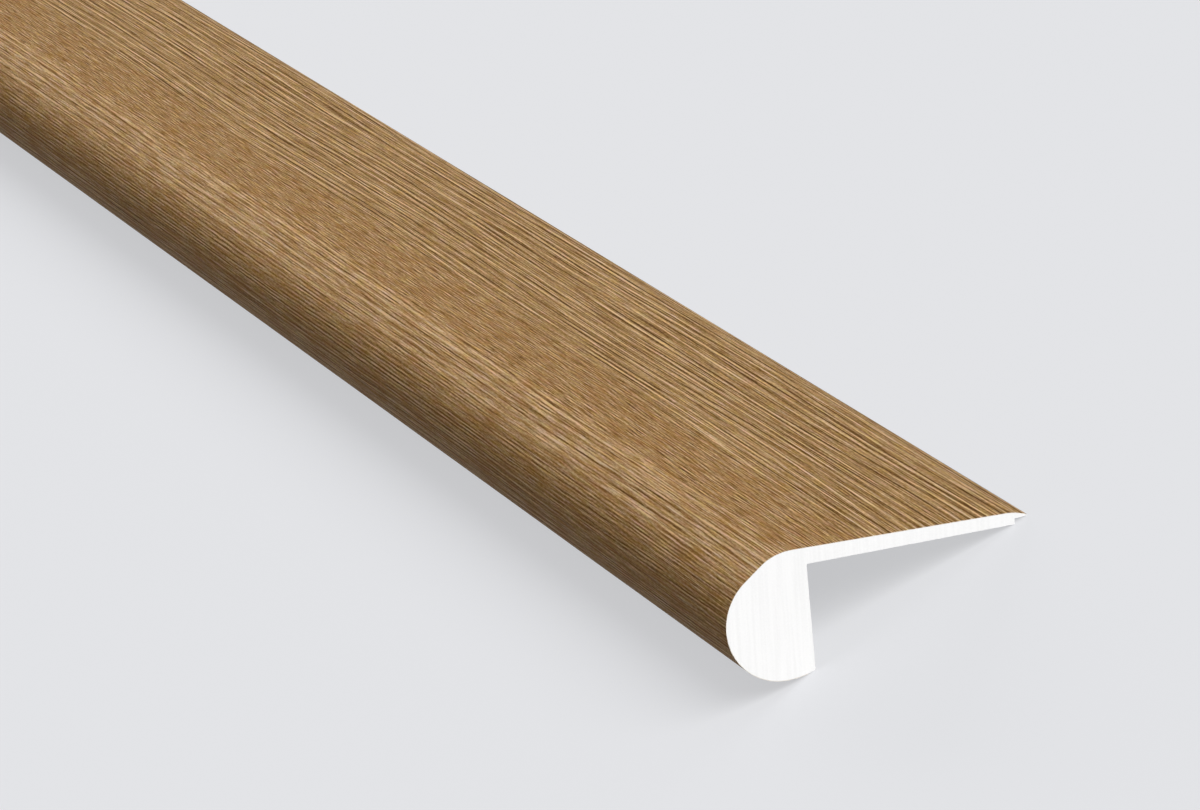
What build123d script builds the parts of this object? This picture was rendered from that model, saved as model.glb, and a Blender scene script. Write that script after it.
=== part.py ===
from build123d import *
import math
import os

# A flush stair nosing: a white extruded profile wrapped in a thin wood-grain film.
# Sizes are in millimetres. The section is drawn as it sits on a stair, with Y running from the
# nose to the back and Z up, and its origin is the corner that the edge of the stair fits into.

# Stock
length = 2388.0

# Bullnose and the leg behind it
nose_radius = 14.3
leg_behind_nose = 7.0
sole_radius = 22.0

# Shoulder between the nose and the tread
shoulder_angle = 37.0
shoulder_rise = 5.8
shoulder_radius = 13.2

# Flange that lies on the tread
flange_depth = 52.7
flange_root_thickness = 4.1
flange_edge_thickness = 3.1

# Overlap lip along the back edge
lip_length = 3.3
lip_root_thickness = 1.7
lip_tip_thickness = 0.4
ease_width = 5.7
ease_radius = 15.5

# Film over the faces that show
film_thickness = 0.2
film_stop = 2.0


def normal(angle):
    """Unit vector across a face, at an angle measured from the back towards the top."""
    return Vector(math.cos(math.radians(angle)), math.sin(math.radians(angle)))


def meeting_point(angle_a, distance_a, angle_b, distance_b):
    """Point at given distances from the origin along two normals."""
    a = normal(angle_a)
    b = normal(angle_b)
    spread = a.X * b.Y - a.Y * b.X
    return Vector(
        (distance_a * b.Y - distance_b * a.Y) / spread,
        (distance_b * a.X - distance_a * b.X) / spread,
    )


# Directions that the faces of the outline look in, from the back edge round to the foot
taper = math.degrees(math.atan2(flange_root_thickness - flange_edge_thickness, flange_depth))
top_angle = 90 - taper
slope_angle = 90 + shoulder_angle
bottom_angle = 270

# Distance of the top plane from the origin, and the crest where the top and the slope would meet
top_distance = normal(top_angle).Y * flange_root_thickness
slope_run = shoulder_rise / math.tan(math.radians(shoulder_angle))
nose_tangent_y = -leg_behind_nose + nose_radius * normal(slope_angle).X
crest_y = nose_tangent_y + slope_run
crest_z = flange_root_thickness - crest_y * math.tan(math.radians(taper))

# Centres of the arcs
nose_centre = Vector(-leg_behind_nose, crest_z - shoulder_rise - nose_radius * normal(slope_angle).Y)
sole_centre = nose_centre + Vector(0, sole_radius - nose_radius)
slope_distance = nose_centre.dot(normal(slope_angle)) + nose_radius
shoulder_centre = meeting_point(
    top_angle, top_distance - shoulder_radius, slope_angle, slope_distance - shoulder_radius
)
tip_y = flange_depth + lip_length
ease_start_y = tip_y - ease_width
ease_start = Vector(ease_start_y, flange_root_thickness - ease_start_y * math.tan(math.radians(taper)))
ease_centre = ease_start - normal(top_angle) * ease_radius

# Ends of the outline: the tip of the lip, the foot of the leg, and where the film stops
tip_angle = math.degrees(math.acos((tip_y - ease_centre.X) / ease_radius))
foot_angle = bottom_angle + math.degrees(math.asin(leg_behind_nose / (sole_radius - film_thickness)))
film_end_angle = foot_angle - math.degrees(film_stop / sole_radius)


def face_path(inset, end_angle):
    """Edges of the show face from the lip's tip to the sole, moved in from the outside by inset."""
    bends = [
        (ease_centre, ease_radius, tip_angle, top_angle),
        (shoulder_centre, shoulder_radius, top_angle, slope_angle),
        (nose_centre, nose_radius, slope_angle, bottom_angle),
        (sole_centre, sole_radius, bottom_angle, end_angle),
    ]
    arcs = [CenterArc(centre, radius - inset, start, end - start) for centre, radius, start, end in bends]
    top = Line(arcs[0] @ 1, arcs[1] @ 0)
    slope = Line(arcs[1] @ 1, arcs[2] @ 0)
    return [arcs[0], top, arcs[1], slope, arcs[2], arcs[3]]


def section(edges):
    """Face across the length, bounded by a closed chain of edges."""
    return Plane.YZ * make_face(edges)


# White profile: the inset face path, closed round the lip, the rebate and the stair's corner
core_path = face_path(film_thickness, foot_angle)
foot = core_path[-1] @ 1
rebate_top = Vector(flange_depth, flange_edge_thickness - lip_root_thickness)
rebate_foot = Vector(flange_depth, 0)
lip_tip = ease_centre + normal(tip_angle) * (ease_radius - lip_tip_thickness)
core_back = Polyline(foot, (0, 0), rebate_foot, rebate_top, lip_tip, core_path[0] @ 0)
core = extrude(section(core_path + [core_back]), length)

# Film: the strip between the outer face path and the same path inset by its thickness
film_outside = face_path(0, film_end_angle)
film_inside = face_path(film_thickness, film_end_angle)
film_ends = [
    Line(film_outside[0] @ 0, film_inside[0] @ 0),
    Line(film_outside[-1] @ 1, film_inside[-1] @ 1),
]
film = extrude(section(film_outside + film_inside + film_ends), length)

# Laid on a floor it leans back on the foot of the leg and the back edge of the flange
supports = [rebate_foot - foot, lip_tip - foot]
lean = min(math.degrees(math.atan2(reach.Y, reach.X)) for reach in supports)
laid = [Rot(X=-lean) * piece for piece in (core, film)]
box = Compound(laid).bounding_box()
to_floor = Pos(-box.center().X, -box.center().Y, -box.min.Z)

os.makedirs("parts", exist_ok=True)
for name, piece in zip(("core_profile", "wood_grain_film"), laid):
    export_step(to_floor * piece, f"parts/{name}.step")
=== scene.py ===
"""Dresses a flush stair nosing: a white extruded profile wrapped in an embossed, printed oak film."""

import logging
import math
from dataclasses import dataclass
from enum import Enum
from functools import reduce

import bmesh
import bpy
from mathutils import Matrix, Vector, noise

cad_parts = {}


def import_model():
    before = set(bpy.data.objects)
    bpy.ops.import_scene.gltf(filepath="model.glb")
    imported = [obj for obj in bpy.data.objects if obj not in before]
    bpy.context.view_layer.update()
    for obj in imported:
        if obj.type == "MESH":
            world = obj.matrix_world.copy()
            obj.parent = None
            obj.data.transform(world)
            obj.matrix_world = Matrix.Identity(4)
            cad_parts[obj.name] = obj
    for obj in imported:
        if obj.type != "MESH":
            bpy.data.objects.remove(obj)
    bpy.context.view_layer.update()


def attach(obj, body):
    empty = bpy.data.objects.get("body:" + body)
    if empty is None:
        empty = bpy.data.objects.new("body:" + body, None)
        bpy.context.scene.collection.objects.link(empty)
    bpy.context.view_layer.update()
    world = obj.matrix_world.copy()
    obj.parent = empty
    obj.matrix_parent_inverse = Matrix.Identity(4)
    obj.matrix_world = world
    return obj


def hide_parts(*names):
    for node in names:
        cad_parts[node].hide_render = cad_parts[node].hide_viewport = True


log = logging.getLogger("stair_nosing")

FLAT_MAP = "OFBake"  # the name of each piece's own flat map
MM = 0.001
TOUCHING = 0.01 * MM  # points closer than this count as one
UP, DOWN = 90.0, 270.0  # the angles that face straight up and straight down
ROW_STEP = 7.31  # how far apart two neighbouring grain lines read their noise

Colour = tuple[float, float, float, float]
Triple = tuple[float, float, float]
Range = tuple[float, float]
Socket = bpy.types.NodeSocket
Level = float | Socket
BMesh = bmesh.types.BMesh
BMFace = bmesh.types.BMFace


def paint(red: int, green: int, blue: int) -> Colour:
    """Turns a colour as it is seen on a screen into the linear one that a shader takes.

    Args:
        red: Red, from 0 to 255.
        green: Green, from 0 to 255.
        blue: Blue, from 0 to 255.

    Returns:
        The linear colour, with an alpha of one.
    """
    linear = []
    for level in (red, green, blue):
        share = level / 255
        linear.append(share / 12.92 if share <= 0.04045 else ((share + 0.055) / 1.055) ** 2.4)
    return (linear[0], linear[1], linear[2], 1.0)


def facing(angle: float) -> Vector:
    """Gives the section's unit direction at an angle in degrees, from the back (+Y) up to the top (+Z)."""
    return Vector((0.0, math.cos(math.radians(angle)), math.sin(math.radians(angle))))


def ease_in_out(share: float) -> float:
    """Gives a smooth step from 0 to 1 over a share from 0 to 1."""
    share = max(0.0, min(1.0, share))
    return share * share * (3 - 2 * share)


def between(ends: Range, share: float) -> float:
    """Gives the number at a share of the way from one end to the other."""
    return ends[0] + (ends[1] - ends[0]) * share


@dataclass(frozen=True)
class Bend:
    """A round stretch of the show face, about a centre, from one facing angle to another."""

    centre: Vector
    radius: float
    start: float
    end: float

    def point(self, angle: float, inset: float = 0.0) -> Vector:
        """Gives the point that faces an angle, on the face or a depth inside it."""
        return self.centre + facing(angle) * (self.radius - inset)


@dataclass(frozen=True)
class Section:
    """The nosing's section as it sits on a stair, in metres and degrees.

    Y runs from the nose to the back and Z up, and the origin is the corner that the stair's edge fits into.
    """

    length: float = 2388 * MM
    nose_radius: float = 14.3 * MM
    leg_behind_nose: float = 7.0 * MM
    sole_radius: float = 22.0 * MM
    shoulder_angle: float = 37.0
    shoulder_rise: float = 5.8 * MM
    shoulder_radius: float = 13.2 * MM
    flange_depth: float = 52.7 * MM
    flange_root_thickness: float = 4.1 * MM
    flange_edge_thickness: float = 3.1 * MM
    lip_length: float = 3.3 * MM
    lip_root_thickness: float = 1.7 * MM
    lip_tip_thickness: float = 0.4 * MM
    ease_width: float = 5.7 * MM
    ease_radius: float = 15.5 * MM
    film_thickness: float = 0.2 * MM
    film_stop: float = 2.0 * MM

    @property
    def taper(self) -> float:
        """The fall of the flange's top towards the back, in radians."""
        return math.atan2(self.flange_root_thickness - self.flange_edge_thickness, self.flange_depth)

    @property
    def top_angle(self) -> float:
        """The angle that the flange's top faces."""
        return UP - math.degrees(self.taper)

    @property
    def slope_angle(self) -> float:
        """The angle that the shoulder's slope faces."""
        return UP + self.shoulder_angle

    def top_height(self, back: float) -> float:
        """Gives the height of the flange's top at a distance behind the origin."""
        return self.flange_root_thickness - back * math.tan(self.taper)

    @property
    def nose(self) -> Bend:
        """The round nose.

        Returns:
            Its bend, from the end of the shoulder's slope to the lowest point.
        """
        slope = facing(self.slope_angle)
        run = self.shoulder_rise / math.tan(math.radians(self.shoulder_angle))
        crest = -self.leg_behind_nose + self.nose_radius * slope.y + run
        drop = self.shoulder_rise + self.nose_radius * slope.z
        centre = Vector((0.0, -self.leg_behind_nose, self.top_height(crest) - drop))
        return Bend(centre, self.nose_radius, self.slope_angle, DOWN)

    @property
    def sole(self) -> Bend:
        """The flatter round under the nose.

        Returns:
            Its bend, from the nose out to the foot of the leg.
        """
        centre = self.nose.centre + Vector((0.0, 0.0, self.sole_radius - self.nose_radius))
        turn = math.asin(self.leg_behind_nose / (self.sole_radius - self.film_thickness))
        return Bend(centre, self.sole_radius, DOWN, DOWN + math.degrees(turn))

    @property
    def shoulder(self) -> Bend:
        """The round from the flange's top into the slope above the nose.

        Returns:
            Its bend, whose centre lies its radius inside both the top and the slope.
        """
        top, slope = facing(self.top_angle), facing(self.slope_angle)
        top_gap = top.z * self.flange_root_thickness - self.shoulder_radius
        slope_gap = self.nose.centre.dot(slope) + self.nose_radius - self.shoulder_radius
        across = top.y * slope.z - top.z * slope.y
        back = (top_gap * slope.z - slope_gap * top.z) / across
        rise = (slope_gap * top.y - top_gap * slope.y) / across
        return Bend(Vector((0.0, back, rise)), self.shoulder_radius, self.top_angle, self.slope_angle)

    @property
    def ease(self) -> Bend:
        """The eased back edge of the flange.

        Returns:
            Its bend, from the tip of the lip to the flange's top.
        """
        tip = self.flange_depth + self.lip_length
        start = Vector((0.0, tip - self.ease_width, self.top_height(tip - self.ease_width)))
        centre = start - facing(self.top_angle) * self.ease_radius
        tip_angle = math.degrees(math.acos((tip - centre.y) / self.ease_radius))
        return Bend(centre, self.ease_radius, tip_angle, self.top_angle)

    @property
    def foot(self) -> Vector:
        """The foot of the leg."""
        return self.sole.point(self.sole.end, self.film_thickness)

    @property
    def back_corners(self) -> tuple[Vector, ...]:
        """The corners of the hidden side.

        Returns:
            The points from the stair's corner to the underside of the lip's tip.
        """
        lip_root = self.flange_edge_thickness - self.lip_root_thickness
        return (
            Vector((0.0, 0.0, 0.0)),
            Vector((0.0, self.flange_depth, 0.0)),
            Vector((0.0, self.flange_depth, lip_root)),
            self.ease.point(self.ease.start, self.lip_tip_thickness),
        )

    def show_face(self, film_only: bool) -> tuple[Bend, ...]:
        """Gives the bends of the show face in order.

        Args:
            film_only: Whether the face ends with the film, a little short of the foot.

        Returns:
            The bends from the lip round to the sole.
        """
        sole = self.sole
        if film_only:
            stop = sole.end - math.degrees(self.film_stop / self.sole_radius)
            sole = Bend(sole.centre, sole.radius, sole.start, stop)
        return (self.ease, self.shoulder, self.nose, sole)

    def laid_down(self) -> Matrix:
        """Gives the move from the stair to the floor, where the nosing rests on its foot and its back edge.

        Returns:
            The turn and the shift as one matrix.
        """
        rest_on = self.back_corners[1:]
        lean = min(math.atan2(p.z - self.foot.z, p.y - self.foot.y) for p in rest_on)
        turn = Matrix.Rotation(-lean, 4, "X")
        front = (turn @ self.nose.centre).y - self.nose_radius
        back = (turn @ self.ease.point(self.ease.start)).y
        shift = Vector((-self.length / 2, -(front + back) / 2, -(turn @ self.foot).z))
        return Matrix.Translation(shift) @ turn


class SectionPen:
    """Draws a section's outline in a mesh, from straight runs and arcs, and notes the girth as it goes."""

    def __init__(self, mesh: BMesh, start: Vector, pitch: float) -> None:
        """Puts the pen down.

        Args:
            mesh: The mesh to draw in.
            start: The first point.
            pitch: The longest step along a run or an arc.
        """
        self.mesh = mesh
        self.pitch = pitch
        self.girth_layer = mesh.verts.layers.float.get("girth") or mesh.verts.layers.float.new("girth")
        self.girth = 0.0
        self.verts = bmesh.ops.create_vert(mesh, co=start)["vert"]
        self.edges: list[bmesh.types.BMEdge] = []

    @property
    def tip(self) -> bmesh.types.BMVert:
        """The point that the pen is at."""
        return self.verts[-1]

    def _sweep(self, angle: float, centre: Vector, step: Vector, steps: int, girth: float) -> None:
        """Sweeps the pen's point and notes the girth of each new point.

        Args:
            angle: The whole turn, in radians.
            centre: The turn's centre.
            step: The move of each step.
            steps: How many steps.
            girth: The length of the whole sweep.
        """
        known_verts, known_edges = set(self.mesh.verts), set(self.mesh.edges)
        bmesh.ops.spin(
            self.mesh, geom=[self.tip], cent=centre, axis=(1, 0, 0), dvec=step, angle=angle, steps=steps
        )
        made = [v for v in self.mesh.verts if v not in known_verts]
        for count, vert in enumerate(made, start=1):
            vert[self.girth_layer] = self.girth + girth * count / steps
        self.girth += girth
        self.verts += made
        self.edges += [e for e in self.mesh.edges if e not in known_edges]

    def arc(self, bend: Bend) -> None:
        """Draws along a bend, at the depth inside the face that the pen is at.

        Args:
            bend: The bend to follow, from its start to its end.
        """
        angle = math.radians(bend.end - bend.start)
        girth = bend.radius * angle
        self._sweep(angle, bend.centre, Vector(), max(1, math.ceil(girth / self.pitch)), girth)

    def line(self, target: Vector, steps: int = 0) -> None:
        """Draws straight to a point.

        Args:
            target: The point.
            steps: How many steps the run has, or none for the pitch's own.
        """
        run = target - self.tip.co
        steps = steps or max(1, math.ceil(run.length / self.pitch))
        self._sweep(0.0, Vector(), run / steps, steps, run.length)

    def close(self) -> None:
        """Joins the pen's last point to its first."""
        self.edges.append(self.mesh.edges.new((self.tip, self.verts[0])))

    @classmethod
    def along_face(
        cls, mesh: BMesh, bends: tuple[Bend, ...], inset: float, pitch: float, run_steps: int = 0
    ) -> "SectionPen":
        """Draws the whole show face.

        Args:
            mesh: The mesh to draw in.
            bends: The bends in order, joined by straight runs.
            inset: The depth inside the face.
            pitch: The longest step.
            run_steps: How many steps each straight run has, or none for the pitch's own.

        Returns:
            The pen at the end of the face.
        """
        pen = cls(mesh, bends[0].point(bends[0].start, inset), pitch)
        for bend in bends:
            start = bend.point(bend.start, inset)
            if (start - pen.tip.co).length > TOUCHING:
                pen.line(start, run_steps)
            pen.arc(bend)
        return pen


class NodeBoard:
    """The nodes of one material, and the short ways to add and join them."""

    def __init__(self, name: str) -> None:
        """Makes the material, with its surface shader.

        Args:
            name: The material's name.
        """
        self.material = bpy.data.materials.new(name)
        self.material.use_nodes = True
        self.tree = self.material.node_tree
        self.surface = self.tree.nodes["Principled BSDF"]

    def add(self, kind: str, **settings: object) -> bpy.types.Node:
        """Adds a node.

        Args:
            kind: The kind of node.
            **settings: Its settings, by their names.

        Returns:
            The node.
        """
        node = self.tree.nodes.new(kind)
        for name, value in settings.items():
            setattr(node, name, value)
        return node

    def feed(self, value: Level | Colour | Triple, socket: Socket) -> None:
        """Joins an output to a socket, or sets the socket to a value.

        Args:
            value: The output or the value.
            socket: The socket that takes it.
        """
        if isinstance(value, Socket):
            self.tree.links.new(value, socket)
        else:
            socket.default_value = value

    def maths(self, operation: str, first: Level, second: Level = 0.0) -> Socket:
        """Works out one sum.

        Args:
            operation: The kind of sum.
            first: The first level.
            second: The second level, for a sum of two.

        Returns:
            The result.
        """
        node = self.add("ShaderNodeMath", operation=operation)
        self.feed(first, node.inputs[0])
        self.feed(second, node.inputs[1])
        return node.outputs[0]

    def plus(self, *levels: Level) -> Socket:
        """Adds levels up."""
        return reduce(lambda total, level: self.maths("ADD", total, level), levels)

    def times(self, *levels: Level) -> Socket:
        """Multiplies levels."""
        return reduce(lambda product, level: self.maths("MULTIPLY", product, level), levels)

    def ramp(self, level: Level, source: Range, target: Range = (0.0, 1.0)) -> Socket:
        """Carries a level smoothly from one range to another, and holds it at the ends.

        Args:
            level: The level to carry.
            source: The range that it comes from.
            target: The range that it goes to.

        Returns:
            The carried level.
        """
        node = self.add("ShaderNodeMapRange", interpolation_type="SMOOTHSTEP")
        for value, socket in zip((level, *source, *target), node.inputs):
            self.feed(value, socket)
        return node.outputs["Result"]

    def attribute(self, name: str) -> Socket:
        """Reads one of the mesh's own levels."""
        return self.add("ShaderNodeAttribute", attribute_name=name).outputs["Fac"]

    def place(self) -> Socket:
        """Reads the place on the piece, in metres."""
        return self.add("ShaderNodeTexCoord").outputs["Object"]

    def along(self) -> Socket:
        """Reads how far along the piece a point lies.

        Returns:
            The distance from the piece's middle, in metres.
        """
        parts = self.add("ShaderNodeSeparateXYZ")
        self.feed(self.place(), parts.inputs[0])
        return parts.outputs["X"]

    def pair(self, first: Level, second: Level) -> Socket:
        """Puts two levels together as a flat place.

        Args:
            first: The place's X.
            second: Its Y.

        Returns:
            The place.
        """
        node = self.add("ShaderNodeCombineXYZ")
        self.feed(first, node.inputs["X"])
        self.feed(second, node.inputs["Y"])
        return node.outputs[0]

    def vectors(self, operation: str, *vectors: Socket | Triple) -> Socket:
        """Works out one sum of places or colours, part by part.

        Args:
            operation: The kind of sum.
            *vectors: The places or colours.

        Returns:
            The result.
        """
        node = self.add("ShaderNodeVectorMath", operation=operation)
        for vector, socket in zip(vectors, node.inputs):
            self.feed(vector, socket)
        return node.outputs[0]

    def cloud(self, place: Socket, scale: Triple, detail: float = 0.0, flat: bool = False) -> Socket:
        """Reads noise.

        Args:
            place: The place on the piece.
            scale: How many of the noise's cells lie in one unit of the place, in each direction.
            detail: How much finer noise lies on top.
            flat: Whether the place is a flat one.

        Returns:
            The noise's level, centred on a half.
        """
        node = self.add("ShaderNodeTexNoise", noise_dimensions="2D" if flat else "3D")
        self.feed(self.vectors("MULTIPLY", place, scale), node.inputs["Vector"])
        self.feed(1.0, node.inputs["Scale"])
        self.feed(detail, node.inputs["Detail"])
        return node.outputs["Fac"]

    def blend(self, share: Level, first: Colour | Socket, second: Colour | Socket) -> Socket:
        """Mixes two colours.

        Args:
            share: The share of the second colour.
            first: The first colour.
            second: The second colour.

        Returns:
            The mixed colour.
        """
        node = self.add("ShaderNodeMix", data_type="RGBA")
        self.feed(share, node.inputs["Factor"])
        self.feed(first, node.inputs[6])
        self.feed(second, node.inputs[7])
        return node.outputs[2]

    def tones(self, level: Level, stops: tuple[tuple[float, Colour], ...]) -> Socket:
        """Turns a level into a colour.

        Args:
            level: The level, from 0 to 1.
            stops: The levels, in order, that have a colour of their own.

        Returns:
            The colour, mixed between the two nearest stops.
        """
        node = self.add("ShaderNodeValToRGB")
        ramp = node.color_ramp
        for spot, _ in stops[1:-1]:
            ramp.elements.new(spot)
        for element, (spot, colour) in zip(ramp.elements, stops):
            element.position = spot
            element.color = colour
        self.feed(level, node.inputs["Fac"])
        return node.outputs["Color"]

    def relief(self, height: Socket, depth: float, strength: float) -> None:
        """Gives the surface a fine relief.

        Args:
            height: The height, from 0 to 1.
            depth: How deep the whole range is, in metres.
            strength: How strongly it shades.
        """
        node = self.add("ShaderNodeBump")
        self.feed(strength, node.inputs["Strength"])
        self.feed(depth, node.inputs["Distance"])
        self.feed(height, node.inputs["Height"])
        self.feed(node.outputs[0], self.surface.inputs["Normal"])

    def dress(self, colour: Socket, roughness: Socket, specular: float) -> None:
        """Sets the surface's look.

        Args:
            colour: Its colour.
            roughness: Its roughness.
            specular: The level of its mirror share.
        """
        self.feed(colour, self.surface.inputs["Base Color"])
        self.feed(roughness, self.surface.inputs["Roughness"])
        self.feed(specular, self.surface.inputs["Specular IOR Level"])


class Streak(Enum):
    """The kinds of streak that make up the oak print. Ridges are embossed as well."""

    RIDGE = "ridge"
    HAIR = "hair"
    LINE = "line"
    THREAD = "thread"
    FLECK = "fleck"
    PORE = "pore"


@dataclass(frozen=True)
class StreakSize:
    """How long and wide a kind of streak is, in metres.

    The gap is how far to each side of a streak its opposite lies, the level how strongly it prints, and the
    detail how rough its edges are.
    """

    length: float
    width: float
    gap: float
    level: float
    detail: float = 0.0


@dataclass(frozen=True)
class OakPrint:
    """The printed and embossed face of the film.

    A range says between which levels of a noise something comes in, and levels say what it goes from and to.
    """

    groove: Colour = paint(78, 48, 20)
    shade: Colour = paint(114, 82, 42)
    body: Colour = paint(156, 123, 80)
    light: Colour = paint(195, 162, 118)
    thread: Colour = paint(222, 190, 148)
    tone_stops: tuple[float, ...] = (0.0, 0.2, 0.5, 0.8, 1.0)
    warm: Colour = paint(162, 112, 62)
    warm_range: Range = (0.40, 0.68)
    warm_levels: Range = (0.08, 0.24)
    mottle_length: float = 18 * MM
    mottle_width: float = 3.5 * MM
    mottle_detail: float = 3.0
    mottle_level: float = -0.28
    hue_length: float = 9 * MM
    hue_width: float = 0.8 * MM
    hue_detail: float = 2.0
    hue_swing: Triple = (0.32, 0.0, 1.1)
    backing: float = 0.3
    line_half: float = 0.16
    stretch_range: Range = (0.3, 0.68)
    stretch_levels: Range = (0.15, 1.0)
    ridge_level: float = 0.51
    groove_length: float = 55 * MM
    hairs_to_ridge: float = 2.4
    hair_level: float = 0.50
    hair_length: float = 50 * MM
    pore_level: float = -0.24
    pore_length: float = 12 * MM
    pore_width: float = 0.28 * MM
    pore_range: Range = (0.62, 0.76)
    hidden_by_crest: float = 0.8
    grit_level: float = 0.36
    grit_length: float = 1.7 * MM
    grit_width: float = 0.32 * MM
    roughness: Range = (0.66, 0.52)
    relief_depth: float = 0.045 * MM
    relief_strength: float = 0.5
    specular: float = 0.03

    @property
    def sizes(self) -> dict[Streak, StreakSize]:
        """The sizes of the streaks that lie freely on the face.

        Returns:
            The size of each kind.
        """
        return {
            Streak.LINE: StreakSize(length=60 * MM, width=0.48 * MM, gap=0.66 * MM, level=0.70),
            Streak.THREAD: StreakSize(length=42 * MM, width=0.30 * MM, gap=0.42 * MM, level=0.80),
            Streak.FLECK: StreakSize(length=10 * MM, width=0.29 * MM, gap=0.44 * MM, level=0.90, detail=1.5),
        }

    @staticmethod
    def _cells(board: NodeBoard, place: Socket, length: float, width: float, detail: float = 0.0) -> Socket:
        """Reads noise in cells of a length along the grain and a width across it, centred on a half."""
        return board.cloud(place, (1 / length, 1 / width, 0.0), detail, flat=True)

    def _streaks(self, board: NodeBoard, place: Socket, size: StreakSize) -> Socket:
        """Draws streaks with their opposites on both sides.

        Args:
            board: The face's nodes.
            place: The place along and across the grain.
            size: The streaks' size.

        Returns:
            The streaks' level, centred on nothing.
        """
        middle = self._cells(board, place, size.length, size.width, size.detail)
        sides = []
        for side in (-1, 1):
            moved = board.vectors("ADD", place, (0.0, side * size.gap, 0.0))
            sides.append(self._cells(board, moved, size.length, size.width, size.detail))
        backing = board.times(board.plus(*sides), self.backing)
        return board.plus(middle, board.times(backing, -1.0), self.backing - 0.5)

    def _line(self, board: NodeBoard, count: Socket) -> Socket:
        """Draws a line in the middle of each count, equally wide however far apart the counts lie.

        Args:
            board: The face's nodes.
            count: The count of the lines across the grain.

        Returns:
            The lines' level, from 0 beside a line to 1 on it.
        """
        share = board.maths("FRACT", count)
        off_line = board.maths("ABSOLUTE", board.plus(share, -0.5))
        off_line = board.maths("DIVIDE", off_line, board.attribute("closeness"))
        return board.ramp(off_line, (0.0, self.line_half), (1.0, 0.0))

    def _broken(self, board: NodeBoard, count: Socket, length: float) -> Socket:
        """Draws a line in the middle of each count, strong and faint by turns along it.

        Args:
            board: The face's nodes.
            count: The count of the lines across the grain.
            length: How far apart the strong and the faint stretches of a line lie.

        Returns:
            The lines' level, from 0 to 1.
        """
        own_row = board.times(board.maths("FLOOR", count), ROW_STEP)
        stretches = board.cloud(board.pair(board.along(), own_row), (1 / length, 1.0, 0.0), flat=True)
        return board.times(
            self._line(board, count), board.ramp(stretches, self.stretch_range, self.stretch_levels)
        )

    @staticmethod
    def _printed(board: NodeBoard, streak: Streak, level: Socket, strength: float) -> Socket:
        """Gives a kind of streak its strength, where the grain's cut shows it."""
        return board.times(level, board.attribute(streak.value), strength)

    def material(self) -> bpy.types.Material:
        """Makes the film's face, whose print follows the grain that the film's mesh carries.

        Returns:
            The material.
        """
        board = NodeBoard("oak_print")
        place = board.pair(board.along(), board.attribute("across"))
        count = board.attribute("count")
        crest = board.times(self._line(board, count), board.attribute("bold"))
        groove = self._broken(board, board.plus(count, 0.5), self.groove_length)
        ridges = board.plus(crest, board.times(groove, -1.0))
        ridges = self._printed(board, Streak.RIDGE, ridges, self.ridge_level)
        hair_count = board.times(count, self.hairs_to_ridge)
        bright_hairs = self._broken(board, hair_count, self.hair_length)
        dark_hairs = self._broken(board, board.plus(hair_count, 0.5), self.hair_length)
        hairs = board.plus(bright_hairs, board.times(dark_hairs, -1.0))
        hairs = self._printed(board, Streak.HAIR, hairs, self.hair_level)
        prints = {
            streak: self._printed(board, streak, self._streaks(board, place, size), size.level)
            for streak, size in self.sizes.items()
        }
        pores = board.ramp(self._cells(board, place, self.pore_length, self.pore_width), self.pore_range)
        pores = board.times(pores, board.plus(board.times(crest, -self.hidden_by_crest), 1.0))
        pores = self._printed(board, Streak.PORE, pores, self.pore_level)
        fine = board.plus(prints[Streak.LINE], prints[Streak.THREAD], hairs, pores)
        mottle = self._cells(board, place, self.mottle_length, self.mottle_width, self.mottle_detail)
        mottling = board.times(board.plus(mottle, -0.5), self.mottle_level)
        grit = self._cells(board, place, self.grit_length, self.grit_width)
        grit = board.times(board.plus(grit, -0.5), self.grit_level)
        # The stretch's tone read from the mesh holds a painted highlight on the front and a painted warm
        # reflection on the sole.
        tone = board.plus(fine, prints[Streak.FLECK], ridges, mottling, grit, board.attribute("tone"))
        colours = (self.groove, self.shade, self.body, self.light, self.thread)
        wood = board.tones(tone, tuple(zip(self.tone_stops, colours)))
        # The stretch's warmth read from the mesh is strongest on the sole, where it paints a warm reflection.
        warmth = board.times(board.ramp(mottle, self.warm_range, self.warm_levels), board.attribute("warmth"))
        board.dress(
            self._hued(board, place, board.blend(warmth, wood, self.warm)),
            board.ramp(tone, (0.0, 1.0), self.roughness),
            self.specular,
        )
        board.relief(board.plus(fine, 0.5), self.relief_depth, self.relief_strength)
        return board.material

    def _hued(self, board: NodeBoard, place: Socket, wood: Socket) -> Socket:
        """Lets the hue change a little from streak to streak.

        Args:
            board: The face's nodes.
            place: The place along and across the grain.
            wood: The colour of the wood.

        Returns:
            The colour with its small changes of hue.
        """
        hues = self._cells(board, place, self.hue_length, self.hue_width, self.hue_detail)
        least = tuple(1 - swing / 2 for swing in self.hue_swing)
        swings = board.vectors("MULTIPLY_ADD", hues.node.outputs["Color"], self.hue_swing, least)
        return board.vectors("MULTIPLY", wood, swings)


@dataclass(frozen=True)
class FilmBase:
    """The film's own plastic, which shows where it is cut. A scale is in cells to the metre."""

    pale: Colour = paint(236, 232, 224)
    dull: Colour = paint(222, 214, 201)
    uneven_scale: Triple = (400.0, 900.0, 900.0)
    uneven_detail: float = 2.0
    uneven_range: Range = (0.3, 0.7)
    roughness: Range = (0.5, 0.65)
    specular: float = 0.3

    def material(self) -> bpy.types.Material:
        """Makes the pale plastic, a little uneven where it was cut.

        Returns:
            The material.
        """
        board = NodeBoard("film_base")
        uneven = board.cloud(board.place(), self.uneven_scale, self.uneven_detail)
        board.dress(
            board.blend(uneven, self.dull, self.pale),
            board.ramp(uneven, self.uneven_range, self.roughness),
            self.specular,
        )
        return board.material


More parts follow.
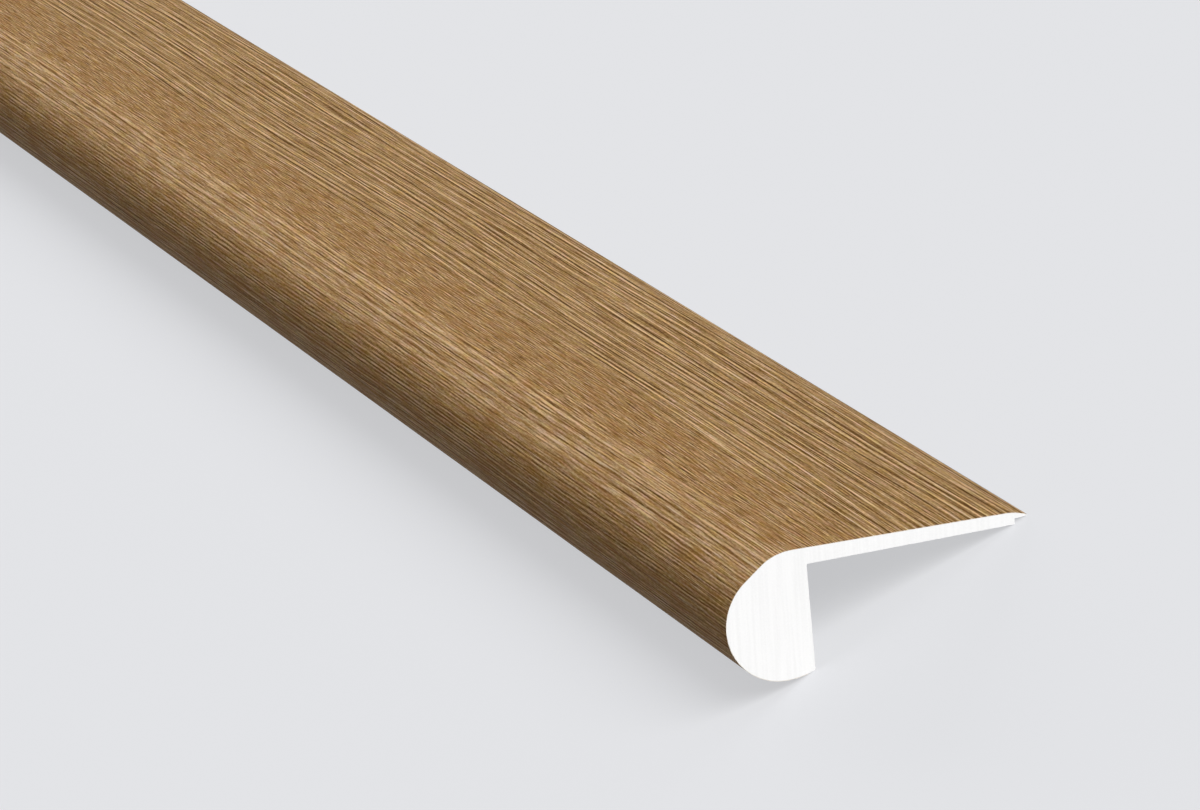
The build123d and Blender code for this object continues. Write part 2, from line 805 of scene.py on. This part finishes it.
@dataclass(frozen=True)
class ExtrudedSkin:
    """The white profile's skin, with the fine lines that the die leaves. A scale is in cells to the metre."""

    pale: Colour = paint(244, 244, 242)
    dull: Colour = paint(230, 230, 227)
    line_scale: Triple = (0.8, 900.0, 900.0)
    line_detail: float = 2.0
    line_share: float = 0.6
    cloud_scale: Triple = (14.0, 60.0, 60.0)
    cloud_detail: float = 3.0
    shade_range: Range = (0.3, 0.7)
    roughness: Range = (0.5, 0.38)
    relief_depth: float = 0.05 * MM
    relief_strength: float = 0.4
    specular: float = 0.4

    def material(self) -> bpy.types.Material:
        """Makes the white skin.

        Returns:
            The material.
        """
        board = NodeBoard("extruded_skin")
        place = board.place()
        lines = board.cloud(place, self.line_scale, self.line_detail)
        clouds = board.cloud(place, self.cloud_scale, self.cloud_detail)
        both = board.plus(board.times(lines, self.line_share), board.times(clouds, 1 - self.line_share))
        board.dress(
            board.blend(board.ramp(both, self.shade_range), self.dull, self.pale),
            board.ramp(both, self.shade_range, self.roughness),
            self.specular,
        )
        board.relief(lines, self.relief_depth, self.relief_strength)
        return board.material


@dataclass(frozen=True)
class SawnEnd:
    """The white profile's sawn end, with faint marks of the blade. A scale is in cells to the metre."""

    pale: Colour = paint(251, 251, 251)
    dull: Colour = paint(245, 245, 245)
    cut_turn: float = math.radians(28.0)
    mark_scale: Triple = (1.0, 1300.0, 40.0)
    mark_share: float = 0.65
    crumb_scale: Triple = (1.0, 2200.0, 2200.0)
    detail: float = 2.0
    shade_range: Range = (0.3, 0.66)
    rough_range: Range = (0.3, 0.7)
    roughness: Range = (0.72, 0.55)
    relief_depth: float = 0.04 * MM
    relief_strength: float = 0.35
    specular: float = 0.25

    def material(self) -> bpy.types.Material:
        """Makes the sawn white end.

        Returns:
            The material.
        """
        board = NodeBoard("sawn_end")
        turned = board.add("ShaderNodeMapping")
        board.feed(board.place(), turned.inputs["Vector"])
        board.feed((self.cut_turn, 0.0, 0.0), turned.inputs["Rotation"])
        marks = board.cloud(turned.outputs[0], self.mark_scale, self.detail)
        crumbs = board.cloud(board.place(), self.crumb_scale, self.detail)
        both = board.plus(board.times(marks, self.mark_share), board.times(crumbs, 1 - self.mark_share))
        board.dress(
            board.blend(board.ramp(both, self.shade_range), self.dull, self.pale),
            board.ramp(both, self.rough_range, self.roughness),
            self.specular,
        )
        board.relief(both, self.relief_depth, self.relief_strength)
        return board.material


class Zone(Enum):
    """The stretches of the film's face that each show another cut of the oak."""

    # The front and the sole also carry painted light in their tone and warmth.
    BACK = "back"
    CALM = "calm"
    FRONT = "front"
    NOSE = "nose"
    SOLE = "sole"


@dataclass(frozen=True)
class GrainCut:
    """How the grain lies in one stretch of the face.

    The start and the end are in metres of girth from the tip of the lip. Ridge to pore are the levels of the
    kinds of streak, and tone and warmth set the stretch's colour: the print's own, plus a painted highlight
    in the front's tone and a painted warm reflection in the sole's tone and warmth.
    """

    start: float
    end: float
    ridge: float
    hair: float
    line: float
    thread: float
    fleck: float
    pore: float
    tone: float
    warmth: float

    def share(self, girth: float, change: float) -> float:
        """Gives how much of this cut shows at a girth.

        Args:
            girth: The girth from the tip of the lip.
            change: The width over which one cut turns into the next.

        Returns:
            A share from 0 to 1.
        """
        rise = ease_in_out((girth - self.start) / change + 0.5)
        fall = ease_in_out((girth - self.end) / change + 0.5)
        return rise - fall


CUTS: dict[Zone, GrainCut] = {
    Zone.BACK: GrainCut(
        start=-20 * MM, end=43 * MM, ridge=1.0, hair=0.0, line=0.7, thread=0.9, fleck=0.7, pore=0.9,
        tone=0.52, warmth=0.3,
    ),
    Zone.CALM: GrainCut(
        start=43 * MM, end=62 * MM, ridge=0.2, hair=0.1, line=0.4, thread=0.4, fleck=1.7, pore=1.5,
        tone=0.516, warmth=1.25,
    ),
    # The front's higher tone is partly the print's lighter band and partly a painted highlight along the
    # shoulder.
    Zone.FRONT: GrainCut(
        start=62 * MM, end=74 * MM, ridge=0.65, hair=0.3, line=0.8, thread=1.0, fleck=1.1, pore=0.9,
        tone=0.655, warmth=1.3,
    ),
    Zone.NOSE: GrainCut(
        start=74 * MM, end=85 * MM, ridge=0.0, hair=1.0, line=0.3, thread=0.7, fleck=1.0, pore=0.6,
        tone=0.50, warmth=1.2,
    ),
    # The sole's lighter tone and strong warmth are painted light: a warm reflection painted along the bottom
    # edge.
    Zone.SOLE: GrainCut(
        start=85 * MM, end=200 * MM, ridge=0.5, hair=0.7, line=0.9, thread=0.6, fleck=0.8, pore=0.6,
        tone=0.555, warmth=2.0,
    ),
}


@dataclass(frozen=True)
class OakGrain:
    """The run of the oak grain over the film's face, in metres."""

    change: float = 5 * MM
    steady_from: float = 56 * MM
    steady_to: float = 78 * MM
    steadied: float = 0.35
    slow_sway: float = 1.3 * MM
    slow_length: float = 150 * MM
    slow_width: float = 14 * MM
    slow_seed: float = 3.1
    quick_sway: float = 0.16 * MM
    quick_length: float = 36 * MM
    quick_width: float = 5 * MM
    quick_seed: float = 7.7
    spacing: float = 2.25 * MM
    wander: float = 0.8
    wander_length: float = 160 * MM
    wander_width: float = 3.2 * MM
    wander_seed: float = 9.2
    probe: float = 0.125
    least_close: float = 0.4
    bold_length: float = 60 * MM
    bold_seed: float = 4.4
    bold_mean: float = 0.66
    bold_swing: float = 1.1
    least_bold: float = 0.1
    crest_half: float = 0.4

    def play(self, girth: float) -> float:
        """Gives how freely the grain bends at a girth, from 1 on the flange to less round the nose."""
        share = ease_in_out((girth - self.steady_from) / (self.steady_to - self.steady_from))
        return 1 - share * (1 - self.steadied)

    def across(self, along: float, girth: float) -> float:
        """Gives the girth that the grain line through a point keeps to on the whole.

        Args:
            along: How far along the piece the point lies.
            girth: Its girth from the tip of the lip.

        Returns:
            The girth of the line, without its sway.
        """
        slow = noise.noise(Vector((along / self.slow_length, girth / self.slow_width, self.slow_seed)))
        quick = noise.noise(Vector((along / self.quick_length, girth / self.quick_width, self.quick_seed)))
        return girth + (self.slow_sway * slow + self.quick_sway * quick) * self.play(girth)

    def count(self, along: float, across: float) -> float:
        """Counts the ridges from the lip to a point, whose whole numbers lie in the grooves.

        Args:
            along: How far along the piece the point lies.
            across: The girth of its grain line.

        Returns:
            The count.
        """
        spot = Vector((along / self.wander_length, across / self.wander_width, self.wander_seed))
        return across / self.spacing + self.wander * noise.noise(spot) * self.play(across)

    def closeness(self, along: float, across: float) -> float:
        """Gives how close together the ridges lie at a point.

        Args:
            along: How far along the piece the point lies.
            across: The girth of its grain line.

        Returns:
            The closeness, which is 1 at the mean spacing and less where the ridges lie further apart.
        """
        step = self.spacing * self.probe
        counted = self.count(along, across + step) - self.count(along, across - step)
        return max(self.least_close, counted * self.spacing / (2 * step))

    def bold(self, along: float, count: float) -> float:
        """Gives how boldly the ridge at a count stands out at a place along it."""
        level = noise.noise(Vector((along / self.bold_length, math.floor(count) * ROW_STEP, self.bold_seed)))
        return max(self.least_bold, min(1.0, self.bold_mean + self.bold_swing * level))

    def height(self, count: float, bold: float) -> float:
        """Gives the height of the ridges at a count, from 0 in a groove to 1 on a bold crest."""
        off_line = abs(count - math.floor(count) - 0.5)
        return bold * (1 - ease_in_out(off_line / self.crest_half))


@dataclass
class WoodGrainFilm:
    """The film that wraps the show face, its grain embossed into its outer side."""

    section: Section
    grain: OakGrain
    face: OakPrint
    base: FilmBase
    column: float = 0.31 * MM
    row: float = 9.4 * MM
    emboss: float = 0.07 * MM
    flat_face: Range = (0.004, 0.966)
    flat_base: Range = (0.976, 0.996)

    def _sheet(self, mesh: BMesh, inset: float) -> list[BMFace]:
        """Draws one side of the film, with faces as long as the film.

        Args:
            mesh: The mesh to draw in.
            inset: The side's depth inside the show face.

        Returns:
            The side's faces.
        """
        known = set(mesh.faces)
        pen = SectionPen.along_face(mesh, self.section.show_face(film_only=True), inset, self.column)
        run = Vector((self.section.length, 0.0, 0.0))
        bmesh.ops.spin(mesh, geom=pen.verts + pen.edges, axis=(1, 0, 0), dvec=run, angle=0.0, steps=1)
        return [face for face in mesh.faces if face not in known]

    def _cut_rows(self, mesh: BMesh, faces: list[BMFace]) -> None:
        """Cuts one side into rows along the film.

        Args:
            mesh: The film's mesh.
            faces: The side's faces, as long as the film.
        """
        long_edges = {e for face in faces for e in face.edges if e.calc_length() > self.section.length / 2}
        cuts = math.ceil(self.section.length / self.row) - 1
        bmesh.ops.subdivide_edges(mesh, edges=list(long_edges), cuts=cuts)

    def _emboss(self, mesh: BMesh, faces: list[BMFace]) -> None:
        """Presses the ridges into the outer side and notes the grain on the mesh for the print.

        Args:
            mesh: The film's mesh.
            faces: The faces of its outer side.
        """
        # Tone and warmth carry each stretch's colour, with a painted highlight on the front and a painted
        # warm reflection on the sole.
        prints = [streak.value for streak in Streak] + ["tone", "warmth"]
        names = ["across", "count", "closeness", "bold", *prints]
        layers = {name: mesh.verts.layers.float.new(name) for name in names}
        girth_layer = mesh.verts.layers.float["girth"]
        mesh.normal_update()
        shares: dict[float, dict[str, float]] = {}
        for vert in {v for face in faces for v in face.verts}:
            along, girth = vert.co.x, vert[girth_layer]
            if girth not in shares:
                cuts = [(cut.share(girth, self.grain.change), cut) for cut in CUTS.values()]
                shares[girth] = {
                    name: sum(share * getattr(cut, name) for share, cut in cuts) for name in prints
                }
            across = self.grain.across(along, girth)
            count = self.grain.count(along, across)
            bold = self.grain.bold(along, count)
            for name in prints:
                vert[layers[name]] = shares[girth][name]
            vert[layers["across"]] = across
            vert[layers["count"]] = count
            vert[layers["closeness"]] = self.grain.closeness(along, across)
            vert[layers["bold"]] = bold
            height = self.grain.height(count, bold) * shares[girth][Streak.RIDGE.value]
            vert.co -= vert.normal * (self.emboss * (1 - height))

    def _close(self, mesh: BMesh) -> None:
        """Closes the film's sawn ends and its long edges, between its two sides.

        Args:
            mesh: The film's mesh.
        """
        for end in (0.0, self.section.length):
            rim = [e for e in mesh.edges if e.is_boundary and all(abs(v.co.x - end) < MM for v in e.verts)]
            bmesh.ops.bridge_loops(mesh, edges=rim)
        bmesh.ops.holes_fill(mesh, edges=[e for e in mesh.edges if e.is_boundary], sides=0)

    def _lay_flat(self, mesh: BMesh) -> None:
        """Lays the film out flat on its map, with its face over most of it and its base along one side.

        Args:
            mesh: The film's mesh, before it is put in its place.
        """
        girth_layer = mesh.verts.layers.float["girth"]
        whole = max(vert[girth_layer] for vert in mesh.verts)
        flat = mesh.loops.layers.uv.new(FLAT_MAP)
        for face in mesh.faces:
            band = self.flat_base if face.material_index else self.flat_face
            for corner in face.loops:
                along = corner.vert.co.x / self.section.length
                corner[flat].uv = (along, between(band, corner.vert[girth_layer] / whole))

    def build(self) -> bpy.types.Object:
        """Makes the film in its place, with its finishes.

        Returns:
            The film.
        """
        mesh = bmesh.new()
        inner = set(self._sheet(mesh, self.section.film_thickness))
        self._cut_rows(mesh, self._sheet(mesh, 0.0))
        face_side = [face for face in mesh.faces if face not in inner]
        self._emboss(mesh, face_side)
        self._close(mesh)
        bmesh.ops.recalc_face_normals(mesh, faces=mesh.faces)
        for face in mesh.faces:
            face.material_index = 1
        for face in face_side:
            face.material_index = 0
            face.smooth = True
        for edge in mesh.edges:
            edge.smooth = len({face.material_index for face in edge.link_faces}) == 1
        self._lay_flat(mesh)
        bmesh.ops.transform(mesh, matrix=self.section.laid_down(), verts=mesh.verts)
        return place_piece("oak_film", mesh, (self.face.material(), self.base.material()))


@dataclass
class CoreProfile:
    """The white extruded profile under the film."""

    section: Section
    skin: ExtrudedSkin
    end: SawnEnd
    column: float = 0.31 * MM
    corner_round: float = 0.15 * MM
    flat_corners: tuple[Range, Range] = ((0.01, 0.01), (0.51, 0.01))
    flat_width: float = 0.48
    flat_skin: Range = (0.22, 0.99)

    def _lay_flat(self, mesh: BMesh) -> None:
        """Lays the profile out flat on its map, with its two ends side by side and its skin above them.

        Args:
            mesh: The profile's mesh, before it is put in its place.
        """
        flat = mesh.loops.layers.uv.new(FLAT_MAP)
        ends = [face for face in mesh.faces if face.material_index == 1]
        back = max(ends[0].loops, key=lambda corner: corner.vert.co.y)
        front_y = min(corner.vert.co.y for corner in ends[0].loops)
        low_z = min(corner.vert.co.z for corner in ends[0].loops)
        scale = self.flat_width / (back.vert.co.y - front_y)
        for end, (left, low) in zip(ends, self.flat_corners):
            for corner in end.loops:
                spot = corner.vert.co
                corner[flat].uv = (left + (spot.y - front_y) * scale, low + (spot.z - low_z) * scale)
        whole = sum(edge.calc_length() for edge in ends[0].edges)
        girth, corner = 0.0, back
        for _ in ends[0].edges:
            width = corner.edge.calc_length()
            strip = next(face for face in corner.edge.link_faces if face != ends[0])
            for point in strip.loops:
                first = (point.vert.co.yz - corner.vert.co.yz).length < width / 2
                share = (girth if first else girth + width) / whole
                point[flat].uv = (point.vert.co.x / self.section.length, between(self.flat_skin, share))
            girth += width
            corner = corner.link_loop_next

    def build(self) -> bpy.types.Object:
        """Makes the profile in its place, with its finishes.

        Returns:
            The profile.
        """
        mesh = bmesh.new()
        bends = self.section.show_face(film_only=False)
        pen = SectionPen.along_face(mesh, bends, self.section.film_thickness, self.column, run_steps=1)
        corners = [pen.tip]
        for corner in self.section.back_corners:
            pen.line(corner, steps=1)
            corners.append(pen.tip)
        pen.close()
        outline = bmesh.ops.contextual_create(mesh, geom=pen.edges)["faces"]
        made = bmesh.ops.extrude_face_region(mesh, geom=outline)["geom"]
        far = [v for v in made if isinstance(v, bmesh.types.BMVert)]
        bmesh.ops.translate(mesh, verts=far, vec=(self.section.length, 0.0, 0.0))
        bmesh.ops.recalc_face_normals(mesh, faces=mesh.faces)
        for face in mesh.faces:
            face.material_index = round(abs(face.normal.x))
        ridges = [e for v in corners for e in v.link_edges if abs(e.verts[0].co.x - e.verts[1].co.x) > MM]
        bmesh.ops.bevel(
            mesh,
            geom=ridges,
            offset=self.corner_round,
            segments=2,
            profile=0.5,
            affect="EDGES",
            material=-1,
        )
        self._lay_flat(mesh)
        bmesh.ops.transform(mesh, matrix=self.section.laid_down(), verts=mesh.verts)
        return place_piece("white_profile", mesh, (self.skin.material(), self.end.material()))


def place_piece(
    name: str, mesh: BMesh, finishes: tuple[bpy.types.Material, ...]
) -> bpy.types.Object:
    """Turns a finished mesh into a piece of the nosing.

    Args:
        name: The piece's name.
        mesh: Its mesh, in its place.
        finishes: Its materials, by the index of its faces.

    Returns:
        The piece.
    """
    data = bpy.data.meshes.new(name)
    mesh.to_mesh(data)
    mesh.free()
    for finish in finishes:
        data.materials.append(finish)
    piece = bpy.data.objects.new(name, data)
    bpy.context.scene.collection.objects.link(piece)
    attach(piece, "root")
    return piece


@dataclass(frozen=True)
class StudioFloor:
    """The floor's plain pale paper."""

    pale: Colour = paint(231, 232, 235)
    bounce: Colour = paint(138, 136, 133)
    shadow_share: float = 0.33

    def material(self) -> bpy.types.Material:
        """Makes the paper, which keeps the nosing's shadow.

        Returns:
            The material.
        """
        board = NodeBoard("studio_floor")
        rays = board.add("ShaderNodeLightPath")
        seen = board.maths("MAXIMUM", rays.outputs["Is Camera Ray"], rays.outputs["Is Glossy Ray"])
        seen = board.maths("MAXIMUM", seen, rays.outputs["Is Transmission Ray"])
        paper = board.add("ShaderNodeBsdfDiffuse")
        board.feed(board.blend(seen, self.bounce, self.pale), paper.inputs["Color"])
        glow = board.add("ShaderNodeEmission")
        board.feed(self.pale, glow.inputs["Color"])
        mixed = board.add("ShaderNodeMixShader")
        board.feed(board.times(seen, 1 - self.shadow_share), mixed.inputs[0])
        board.feed(paper.outputs[0], mixed.inputs[1])
        board.feed(glow.outputs[0], mixed.inputs[2])
        output = board.tree.nodes["Material Output"]
        board.tree.nodes.remove(board.surface)
        board.feed(mixed.outputs[0], output.inputs["Surface"])
        return board.material


@dataclass(frozen=True)
class Viewpoint:
    """Where the camera stands and what it looks at, in metres and degrees, and its lens in millimetres."""

    azimuth: float = 80.5375
    elevation: float = 21.7436
    roll: float = 32.2322
    aim: Triple = (1.194, -0.03364, 0.08607)
    distance: float = 1.7205
    lens: float = 224.769
    sensor: float = 36.0

    def matrix(self) -> Matrix:
        """Gives the camera's place.

        Returns:
            Its turn and its spot as one matrix.
        """
        turn, rise, roll = (math.radians(a) for a in (self.azimuth, self.elevation, self.roll))
        level = math.cos(rise)
        forward = Vector((-math.sin(turn) * level, math.cos(turn) * level, -math.sin(rise)))
        right = forward.cross(Vector((0.0, 0.0, 1.0))).normalized()
        up = right.cross(forward) * math.cos(roll) + right * math.sin(roll)
        axes = Matrix((forward.cross(up), up, -forward)).transposed().to_4x4()
        return Matrix.Translation(Vector(self.aim) - forward * self.distance) @ axes


@dataclass(frozen=True)
class SoftLamp:
    """A far, broad lamp, with the direction that it stands in, its strength and the angle that it fills."""

    towards: Triple
    strength: float
    spread: float
    sheen: bool = True

    def hang(self, name: str) -> None:
        """Hangs the lamp up.

        Args:
            name: The lamp's name.
        """
        lamp = bpy.data.lights.new(name, "SUN")
        lamp.energy = self.strength
        lamp.angle = self.spread
        hung = bpy.data.objects.new(name, lamp)
        hung.rotation_mode = "QUATERNION"
        hung.rotation_quaternion = Vector(self.towards).to_track_quat("Z", "Y")
        hung.visible_glossy = self.sheen
        bpy.context.scene.collection.objects.link(hung)


@dataclass
class Studio:
    """The floor, the light and the camera round the nosing."""

    viewpoint: Viewpoint
    paper: StudioFloor
    floor_reach: float = 40.0
    key: SoftLamp = SoftLamp((0.745, 0.362, 0.561), 3.44, math.radians(35.0))
    fill: SoftLamp = SoftLamp((-0.99, 0.0, 0.14), 1.5, math.radians(30.0), sheen=False)
    air: float = 0.20
    horizon: Colour = paint(249, 250, 252)

    def lay_floor(self) -> None:
        """Lays the floor that the nosing lies on."""
        mesh = bmesh.new()
        bmesh.ops.create_grid(mesh, x_segments=1, y_segments=1, size=self.floor_reach)
        data = bpy.data.meshes.new("floor")
        mesh.to_mesh(data)
        mesh.free()
        data.materials.append(self.paper.material())
        floor = bpy.data.objects.new("floor", data)
        bpy.context.scene.collection.objects.link(floor)

    def light(self) -> None:
        """Hangs the key lamp and the fill for the far end, and fills the air with an even light."""
        self.key.hang("key")
        self.fill.hang("fill")
        world = bpy.data.worlds.new("air")
        world.use_nodes = True
        bpy.context.scene.world = world
        tree = world.node_tree
        ground = tree.nodes["Background"]
        ground.inputs["Color"].default_value = self.horizon
        rays = tree.nodes.new("ShaderNodeLightPath")
        level = tree.nodes.new("ShaderNodeMapRange")
        level.inputs["To Min"].default_value = self.air
        level.inputs["To Max"].default_value = 1.0
        tree.links.new(rays.outputs["Is Camera Ray"], level.inputs["Value"])
        tree.links.new(level.outputs["Result"], ground.inputs["Strength"])

    def set_camera(self) -> None:
        """Stands the camera up and makes it the scene's own."""
        data = bpy.data.cameras.new("camera")
        data.lens = self.viewpoint.lens
        data.sensor_width = self.viewpoint.sensor
        camera = bpy.data.objects.new("camera", data)
        camera.matrix_world = self.viewpoint.matrix()
        bpy.context.scene.collection.objects.link(camera)
        bpy.context.scene.camera = camera
        bpy.context.scene.view_settings.view_transform = "Standard"


def main() -> None:
    """Builds the nosing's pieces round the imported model, and the studio round them."""
    logging.basicConfig(level=logging.INFO, format="%(message)s")
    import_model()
    studio = Studio(Viewpoint(), StudioFloor())
    studio.set_camera()
    studio.lay_floor()
    studio.light()
    section = Section()
    core = CoreProfile(section, ExtrudedSkin(), SawnEnd()).build()
    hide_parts("core_profile")
    log.info("%s: %d faces", core.name, len(core.data.polygons))
    film = WoodGrainFilm(section, OakGrain(), OakPrint(), FilmBase()).build()
    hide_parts("wood_grain_film")
    log.info("%s: %d faces", film.name, len(film.data.polygons))


if __name__ == "__main__":
    main()
